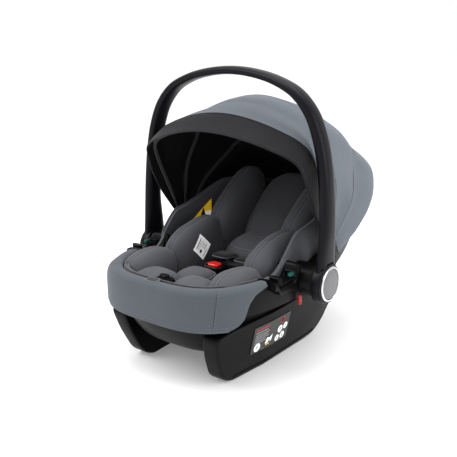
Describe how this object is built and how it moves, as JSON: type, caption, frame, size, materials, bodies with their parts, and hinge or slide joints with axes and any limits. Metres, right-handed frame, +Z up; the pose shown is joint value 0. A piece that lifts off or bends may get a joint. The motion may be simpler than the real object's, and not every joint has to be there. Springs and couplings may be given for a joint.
{
  "type": "infant car seat",
  "caption": "Reclined bucket seat on rocker runners with padded insert, harness, swinging carry handle and folding fabric canopy.",
  "frame": {"origin": "on the floor, under the middle of the seat's length and width", "axes": "+Z up, +Y towards the head end, +X to the seat's left-hand side as the baby sits"},
  "size_m": [0.4412, 0.5924, 0.5376],
  "materials": {
    "shell_plastic": "fine satin texture",
    "rim_plastic": "satin black",
    "foam": "expanded foam, pale grey",
    "rim_fabric": "woven, blue-grey",
    "canopy_fabric": "smooth woven, light blue-grey",
    "seat_fabric": "dark grey padded knit",
    "insert_fabric": "dark grey padded knit",
    "brim_fabric": "black woven",
    "webbing": "woven webbing",
    "red_button": "gloss red",
    "guide_plastic": "satin dark green",
    "disc_plastic": "satin grey",
    "chrome_trim": "bright",
    "steel": "plain",
    "label": "printed label",
    "label_yellow": "printed label"
  },
  "bodies": {
    "shell": {"outer_shell": "shell_plastic", "foam_liner": "foam", "seat_cover": "seat_fabric", "upper_rim": "rim_plastic", "foot_cover": "rim_fabric", "insert_seat_pad": "insert_fabric", "seat_front_pad": "insert_fabric", "lumbar_pad": "insert_fabric", "back_pad": "insert_fabric", "buckle_housing": "rim_plastic", "crotch_pad": "insert_fabric", "adjuster_housing": "rim_plastic", "adjuster_strap": "webbing", "side_label": "label", "care_label": "label", "rim_label": "label_yellow", "canopy_rear_skirt": "canopy_fabric", "belt_guide_left": "rim_plastic", "belt_guide_right": "rim_plastic", "belt_hook_left": "guide_plastic", "belt_hook_right": "guide_plastic", "bolster_left": "insert_fabric", "bolster_right": "insert_fabric", "thigh_pad_left": "insert_fabric", "thigh_pad_right": "insert_fabric", "hip_pad_left": "insert_fabric", "hip_pad_right": "insert_fabric", "wing_left": "insert_fabric", "wing_right": "insert_fabric", "harness_strap_left": "webbing", "harness_strap_right": "webbing", "strap_pad_left": "insert_fabric", "strap_pad_right": "insert_fabric", "pivot_pin_left": "steel", "pivot_pin_right": "steel", "hinge_mount_left": "rim_plastic", "hinge_mount_right": "rim_plastic", "lock_tab_left": "red_button", "lock_tab_right": "red_button"},
    "handle": {"handle_frame": "shell_plastic", "trim_ring_left": "chrome_trim", "trim_ring_right": "chrome_trim", "button_spring_left": "steel", "button_spring_right": "steel"},
    "release_right": {"release_button_right": "disc_plastic"},
    "release_left": {"release_button_left": "disc_plastic"},
    "rear_bow": {"rear_bow": "shell_plastic", "canopy_middle_panel": "canopy_fabric"},
    "middle_bow": {"middle_bow": "shell_plastic", "canopy_front_panel": "canopy_fabric"},
    "front_bow": {"front_bow": "shell_plastic", "canopy_brim": "brim_fabric"},
    "buckle_button": {"buckle_button": "red_button"},
    "tongue_right": {"tongue_right": "rim_plastic"},
    "tongue_left": {"tongue_left": "rim_plastic"},
    "adjuster_button": {"adjuster_button": "rim_plastic"}
  },
  "joints": [
    {"name": "handle_swing", "type": "hinge", "parent": "shell", "child": "handle", "pos_m": [0, -0.051, 0.164], "axis": [-1, 0, 0], "range_deg": [0, 110]},
    {"name": "release_right_press", "type": "slide", "parent": "handle", "child": "release_right", "axis": [-1, 0, 0], "range_m": [0, 0.005], "stiffness_N_per_m": 900, "deforming": ["button_spring_right"]},
    {"name": "release_left_press", "type": "slide", "parent": "handle", "child": "release_left", "axis": [1, 0, 0], "range_m": [0, 0.005], "stiffness_N_per_m": 900, "deforming": ["button_spring_left"]},
    {"name": "canopy_rear", "type": "hinge", "parent": "shell", "child": "rear_bow", "pos_m": [0, 0.009, 0.208], "axis": [-1, 0, 0], "range_deg": [0, 14], "deforming": ["canopy_rear_skirt"]},
    {"name": "canopy_middle", "type": "hinge", "parent": "rear_bow", "child": "middle_bow", "pos_m": [0, 0.009, 0.208], "axis": [-1, 0, 0], "range_deg": [0, 27], "deforming": ["canopy_middle_panel"]},
    {"name": "canopy_front", "type": "hinge", "parent": "middle_bow", "child": "front_bow", "pos_m": [0, 0.009, 0.208], "axis": [-1, 0, 0], "range_deg": [0, 23.5], "deforming": ["canopy_front_panel"]},
    {"name": "buckle_press", "type": "slide", "parent": "shell", "child": "buckle_button", "axis": [0, 0, -1], "range_m": [0, 0.004], "stiffness_N_per_m": 700},
    {"name": "tongue_right_pull", "type": "slide", "parent": "shell", "child": "tongue_right", "axis": [0, 1, 0], "range_m": [0, 0.024], "deforming": ["harness_strap_right"]},
    {"name": "tongue_left_pull", "type": "slide", "parent": "shell", "child": "tongue_left", "axis": [0, 1, 0], "range_m": [0, 0.024], "deforming": ["harness_strap_left"]},
    {"name": "adjuster_press", "type": "slide", "parent": "shell", "child": "adjuster_button", "axis": [0, 0, -1], "range_m": [0, 0.002], "stiffness_N_per_m": 700}
  ],
  "couplings": [
    {"joint": "canopy_middle", "follows": "canopy_rear", "ratio": 1.9286},
    {"joint": "canopy_front", "follows": "canopy_rear", "ratio": 1.6786}
  ]
}
